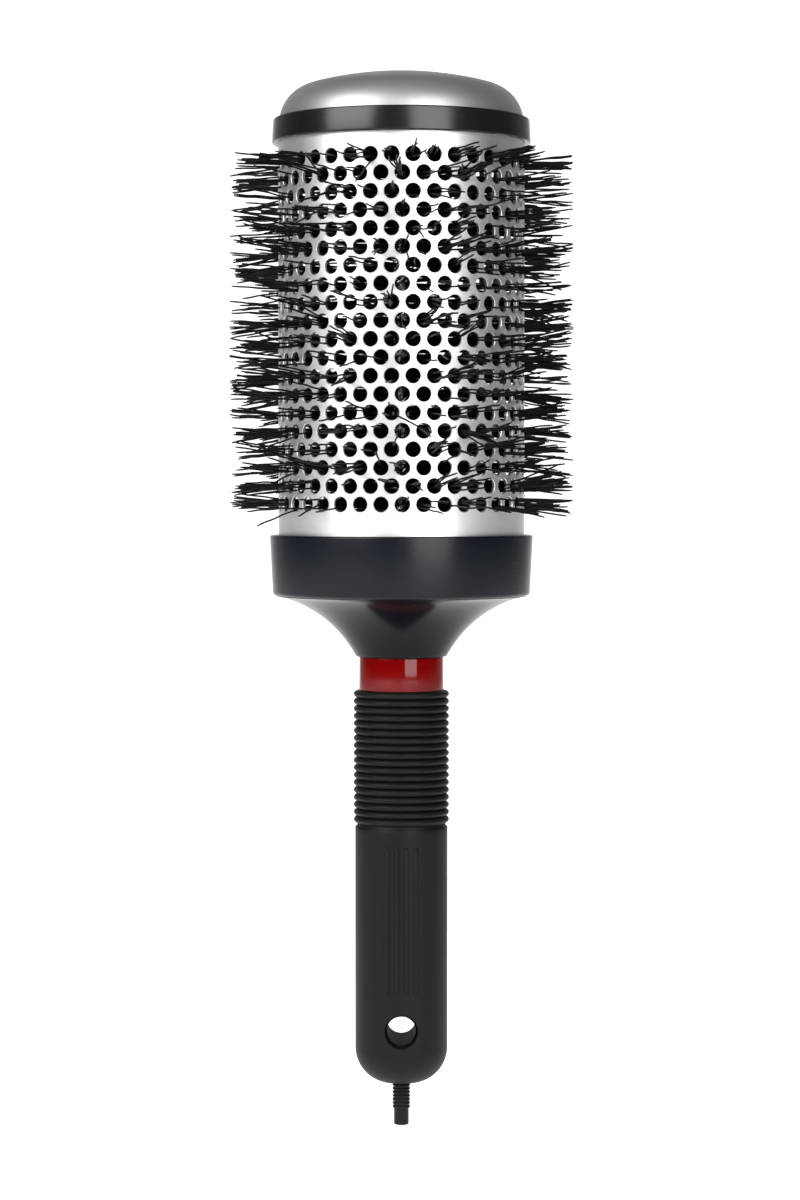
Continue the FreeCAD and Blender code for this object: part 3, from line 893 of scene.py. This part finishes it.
def add_raised_bar(bm, middle, foot):
    """A low bar with round ends along the front of the sleeve, sunk a little into it."""
    tone = settings().handle
    smooth = SLEEVE_RADIUS
    steps = 32
    half, straight = tone.bar_width / 2, tone.bar_length / 2 - tone.bar_width / 2
    level = foot + tone.bar_length / 2
    rise = tone.bar_rise
    profile = ((1.0, -0.3 * MM), (0.97, rise * 0.3), (0.8, rise * 0.75), (0.45, rise))
    rings = []
    for grow, height in profile:
        ring = []
        for step in range(steps):
            angle = TURN * (step + 0.5) / steps
            x = middle + half * grow * math.cos(angle)
            z = level + math.copysign(straight, math.sin(angle)) + half * grow * math.sin(angle)
            ring.append(bm.verts.new((x, -(math.sqrt(smooth**2 - x**2) + height), z)))
        rings.append(ring)
    bridge(bm, rings)
    bm.faces.new(rings[-1])
    bm.faces.new(list(reversed(rings[0])))


def make_grip():
    """Rubber sleeve with ribs, a rounded end, the soft-edged hang hole and raised thumb bars."""
    tone = settings().handle
    rubber = rubber_finish()
    piece = finished_piece(
        "rubber_sleeve", lathe(sleeve_section(), 160), rubber, ["grip"], 38
    )
    cut_with(piece, hang_hole_cutter())
    bm = bmesh.new()
    for bar in range(tone.bar_count):
        middle = tone.bar_pitch * (bar - (tone.bar_count - 1) / 2)
        add_raised_bar(bm, middle, tone.bar_foot)
    finished_piece("thumb_bars", bm, rubber, ["grip"], 60)


def make_pick():
    """Pick: smooth shank, ribbed shoulder and a smooth tip with a rounded end."""
    tip, top = LOW["pick"].z, HIGH["pick"].z
    shank = 1.93 * MM
    root = 1.88 * MM
    knurl_foot = tip + 4.2 * MM
    knurl_top = LOW["grip"].z - 0.3 * MM
    rings = 7
    section = rounded([(0.0, tip), (shank, tip, 0.3 * MM), (shank, knurl_foot)])
    section.append((root, knurl_foot))
    spacing = (knurl_top - knurl_foot) / rings
    crest = HIGH["pick"].x
    for ring in range(rings):
        for step in range(1, 10):
            part = step / 10
            swell = math.sin(math.pi * part) ** 0.8
            level = knurl_foot + spacing * (ring + part)
            section.append((root + (crest - root) * swell, level))
    section += [(root, knurl_top), (shank, knurl_top)]
    section += rounded([(shank, knurl_top + 0.1 * MM), (shank, top, 0.5 * MM), (0.0, top)])
    finish = rubber_finish("pick_plastic", 0.95, 0.42)
    return finished_piece("sectioning_pick", lathe(section, 72), finish, ["pick"])


def make_core():
    """The handle's core keeps its own shape, in plain moulded plastic."""
    finish = turned_plastic_finish("core_plastic", (0.004, 0.005, 0.004), 0.62, 0.2, 0.05)
    coat_cad_node("handle_core", finish)


def make_stem():
    """The two twisted wires keep their own shape, in bright steel."""
    steel = stem_steel_finish()
    for name in ("stem_wire_a", "stem_wire_b"):
        coat_cad_node(name, steel)


# ---- stage --------------------------------------------------------------------------------------


def paper_finish():
    """Pale paper that glows white behind and below the brush and a softer grey around it."""
    finish = Finish("pale_paper", Roughness=0.9, Specular_IOR_Level=0.1, Emission_Strength=1.0)
    grain = finish.noise(3, (1, 1, 1), 2.0)
    where = finish.place()
    across = finish.part(where, "X")
    aside = finish.ramp(across.magnitude() * 0.5, (0.22, 1.0), (0.55, 0.0))
    ahead = finish.ramp(finish.part(where, "Y") + 0.5, (0.16, 0.0), (0.44, 1.0))
    height = finish.part(where, "Z") * 0.5
    above = finish.ramp(height, (0.32, 1.0), (0.46, 0.0))
    near = finish.ramp(across.magnitude() * 0.16, (0.35, 1.0), (0.85, 0.0))
    low = finish.ramp(height, (0.02, 1.0), (0.25, 0.0))
    middle = aside * ahead * above
    glow = middle + (1.0 - middle) * near * low * 0.14
    white, black = (0.86, 0.86, 0.86), (0.0, 0.0, 0.0)
    return finish.surface(
        Base_Color=finish.blend(grain, shade(white, 0.99), shade(white, 1.01)),
        Emission_Color=finish.blend(glow, black, white),
    )


def make_floor():
    """A pale floor that sweeps up into a wall behind the brush."""
    low = CAD_BOX[0].z - 0.5 * MM
    reach, wall, bend, tall = 6.0, 2.2, 1.0, 5.0
    profile = [(-reach, low)]
    for step in range(17):
        angle = math.pi / 2 * step / 16
        profile.append((wall - bend + bend * math.sin(angle), low + bend * (1 - math.cos(angle))))
    profile.append((wall, low + tall))
    bm = bmesh.new()
    rows = [[bm.verts.new((side * reach, y, z)) for side in (-1, 1)] for y, z in profile]
    for first, second in zip(rows, rows[1:]):
        bm.faces.new([first[0], first[1], second[1], second[0]])
    mesh = bpy.data.meshes.new("floor_sweep")
    bm.to_mesh(mesh)
    bm.free()
    mesh.shade_smooth()
    mesh.materials.append(paper_finish())
    sweep = bpy.data.objects.new("floor_sweep", mesh)
    bpy.context.scene.collection.objects.link(sweep)


def soft_light(name, bearing, distance, height, width, tall, radiance):
    """A soft box that faces the brush, at a bearing round from the front."""
    middle = Vector((0, 0, (CAD_BOX[0].z + CAD_BOX[1].z) / 2))
    lamp = bpy.data.lights.new(name, "AREA")
    lamp.shape = "RECTANGLE"
    lamp.size = width
    lamp.size_y = tall
    lamp.energy = radiance * math.pi * width * tall
    item = bpy.data.objects.new(name, lamp)
    item.location = outward(math.radians(bearing)) * distance + Vector((0, 0, height))
    item.rotation_euler = (middle - item.location).to_track_quat("-Z", "Y").to_euler()
    bpy.context.scene.collection.objects.link(item)


def make_stage():
    tone = settings().stage
    scene = bpy.context.scene
    camera = bpy.data.cameras.new("camera")
    camera.lens = tone.lens
    camera.sensor_width = 36
    camera.clip_start = 0.01
    viewer = bpy.data.objects.new("camera", camera)
    viewer.location = (tone.eye_shift, -tone.distance, CAD_BOX[0].z + tone.eye_height)
    viewer.rotation_euler = (math.pi / 2 - tone.tilt, 0, 0)
    scene.collection.objects.link(viewer)
    scene.camera = viewer
    scene.view_settings.view_transform = "Standard"
    make_floor()
    soft_light("right_box", 26, 1.25, 0.54, 0.80, 1.1, tone.key)
    soft_light("left_box", -47, 1.30, 0.78, 1.10, 1.0, tone.key * 1.15)
    soft_light("top_box", 0, 0.25, 1.6, 1.5, 1.2, tone.key * 0.028)
    world = bpy.data.worlds.new("studio_room")
    world.use_nodes = True
    back = world.node_tree.nodes["Background"]
    back.inputs["Color"].default_value = (tone.room, tone.room, tone.room, 1)
    scene.world = world


# ---- operators ----------------------------------------------------------------------------------


class BRUSH_OT_stage(bpy.types.Operator):
    """Set the camera, the soft lights and the pale floor"""

    bl_idname = "round_brush.stage"
    bl_label = "Stage"

    def execute(self, context):
        make_stage()
        return {"FINISHED"}


class BRUSH_OT_cap(bpy.types.Operator):
    """Make the silver dome and the dark skirt below it"""

    bl_idname = "round_brush.cap"
    bl_label = "Cap"

    def execute(self, context):
        make_dome()
        make_cap_skirt()
        return {"FINISHED"}


class BRUSH_OT_barrel(bpy.types.Operator):
    """Make the vented metal barrel"""

    bl_idname = "round_brush.barrel"
    bl_label = "Barrel"

    def execute(self, context):
        make_barrel()
        return {"FINISHED"}


class BRUSH_OT_stem(bpy.types.Operator):
    """Finish the two twisted wires of the stem"""

    bl_idname = "round_brush.stem"
    bl_label = "Stem"

    def execute(self, context):
        make_stem()
        return {"FINISHED"}


class BRUSH_OT_bristles(bpy.types.Operator):
    """Make the rows of nylon bristles"""

    bl_idname = "round_brush.bristles"
    bl_label = "Bristles"

    def execute(self, context):
        make_bristles()
        return {"FINISHED"}


class BRUSH_OT_collar(bpy.types.Operator):
    """Make the dark collar and the flared neck below it"""

    bl_idname = "round_brush.collar"
    bl_label = "Collar and neck"

    def execute(self, context):
        make_collar()
        make_neck()
        return {"FINISHED"}


class BRUSH_OT_ring(bpy.types.Operator):
    """Make the red finger ring"""

    bl_idname = "round_brush.ring"
    bl_label = "Ring"

    def execute(self, context):
        make_ring()
        return {"FINISHED"}


class BRUSH_OT_handle(bpy.types.Operator):
    """Make the rubber sleeve and finish the core inside it"""

    bl_idname = "round_brush.handle"
    bl_label = "Handle"

    def execute(self, context):
        make_grip()
        make_core()
        return {"FINISHED"}


class BRUSH_OT_pick(bpy.types.Operator):
    """Make the pick that pulls out of the handle's end"""

    bl_idname = "round_brush.pick"
    bl_label = "Pick"

    def execute(self, context):
        make_pick()
        return {"FINISHED"}


class BRUSH_PT_sidebar(bpy.types.Panel):
    """List the operators that make the brush"""

    bl_idname = "BRUSH_PT_sidebar"
    bl_label = "Round barrel brush"
    bl_space_type = "VIEW_3D"
    bl_region_type = "UI"
    bl_category = "Brush"

    def draw(self, context):
        for maker in OPERATORS:
            self.layout.operator(maker.bl_idname)


GROUPS = (
    BristleSettings,
    BarrelSettings,
    HeadSettings,
    HandleSettings,
    StageSettings,
    BrushSettings,
)
OPERATORS = (
    BRUSH_OT_stage,
    BRUSH_OT_cap,
    BRUSH_OT_barrel,
    BRUSH_OT_stem,
    BRUSH_OT_bristles,
    BRUSH_OT_collar,
    BRUSH_OT_ring,
    BRUSH_OT_handle,
    BRUSH_OT_pick,
)


def register():
    for item in GROUPS + OPERATORS + (BRUSH_PT_sidebar,):
        bpy.utils.register_class(item)
    bpy.types.Scene.round_brush = PointerProperty(
        type=BrushSettings, name="Round brush", description="Sizes and colours of the brush"
    )


def unregister():
    del bpy.types.Scene.round_brush
    for item in reversed(GROUPS + OPERATORS + (BRUSH_PT_sidebar,)):
        bpy.utils.unregister_class(item)


def main():
    register()
    bpy.ops.round_brush.stage()
    bpy.ops.round_brush.cap()
    bpy.ops.round_brush.barrel()
    bpy.ops.round_brush.stem()
    bpy.ops.round_brush.bristles()
    bpy.ops.round_brush.collar()
    bpy.ops.round_brush.ring()
    bpy.ops.round_brush.handle()
    bpy.ops.round_brush.pick()


if __name__ == "__main__":
    main()
